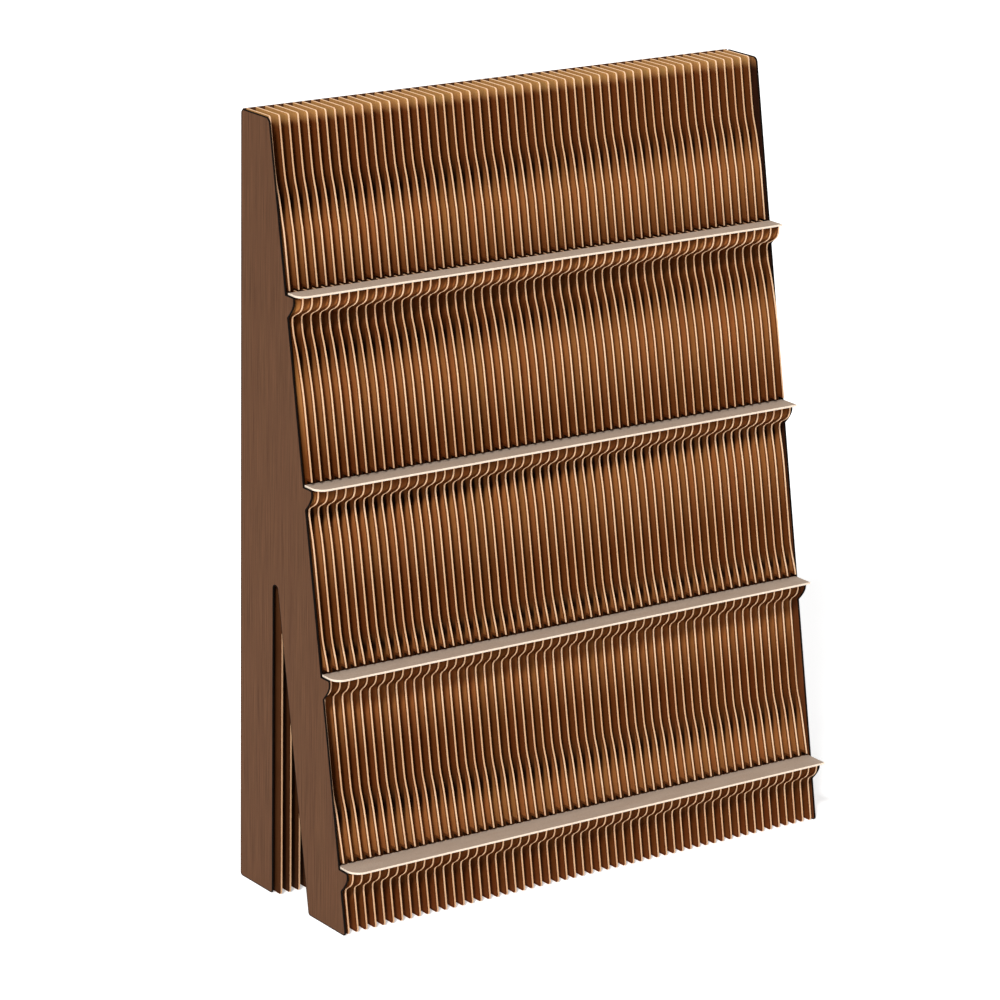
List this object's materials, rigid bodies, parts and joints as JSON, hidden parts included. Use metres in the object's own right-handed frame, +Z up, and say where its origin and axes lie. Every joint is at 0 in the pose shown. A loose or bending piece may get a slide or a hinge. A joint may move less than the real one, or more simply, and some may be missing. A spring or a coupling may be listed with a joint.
{
  "type": "ribbed cardboard display rack",
  "caption": "Free-standing display rack of upright wavy-fronted board ribs on sloping legs, with four narrow shelves on brackets, two plain end panels and a back board.",
  "frame": {"origin": "centre of the bounding box at floor level", "axes": "+Z up; X along the shelves; the open front with the shelves faces -Y"},
  "size_m": [1.01, 0.3526, 1.35],
  "materials": {
    "rib_board": "matt",
    "end_board": "matt",
    "shelf_board": "matt"
  },
  "bodies": {
    "root": {"back_board": "end_board", "left_end_panel": "end_board", "low_shelf": "shelf_board", "lower_middle_shelf": "shelf_board", "rib_02": "rib_board", "rib_03": "rib_board", "rib_04": "rib_board", "rib_05": "rib_board", "rib_06": "rib_board", "rib_07": "rib_board", "rib_08": "rib_board", "rib_09": "rib_board", "rib_10": "rib_board", "rib_11": "rib_board", "rib_12": "rib_board", "rib_13": "rib_board", "rib_14": "rib_board", "rib_15": "rib_board", "rib_16": "rib_board", "rib_17": "rib_board", "rib_18": "rib_board", "rib_19": "rib_board", "rib_20": "rib_board", "rib_21": "rib_board", "rib_22": "rib_board", "rib_23": "rib_board", "rib_24": "rib_board", "rib_25": "rib_board", "rib_26": "rib_board", "rib_27": "rib_board", "rib_28": "rib_board", "rib_29": "rib_board", "rib_30": "rib_board", "rib_31": "rib_board", "rib_32": "rib_board", "rib_33": "rib_board", "rib_34": "rib_board", "rib_35": "rib_board", "rib_36": "rib_board", "rib_37": "rib_board", "rib_38": "rib_board", "rib_39": "rib_board", "rib_40": "rib_board", "rib_41": "rib_board", "rib_42": "rib_board", "rib_43": "rib_board", "rib_44": "rib_board", "rib_45": "rib_board", "rib_46": "rib_board", "rib_47": "rib_board", "rib_48": "rib_board", "rib_49": "rib_board", "rib_50": "rib_board", "rib_51": "rib_board", "rib_pair_01": "rib_board", "rib_pair_52": "rib_board", "rib_pair_53": "rib_board", "right_end_panel": "end_board", "top_shelf": "shelf_board", "upper_middle_shelf": "shelf_board"}
  },
  "joints": []
}
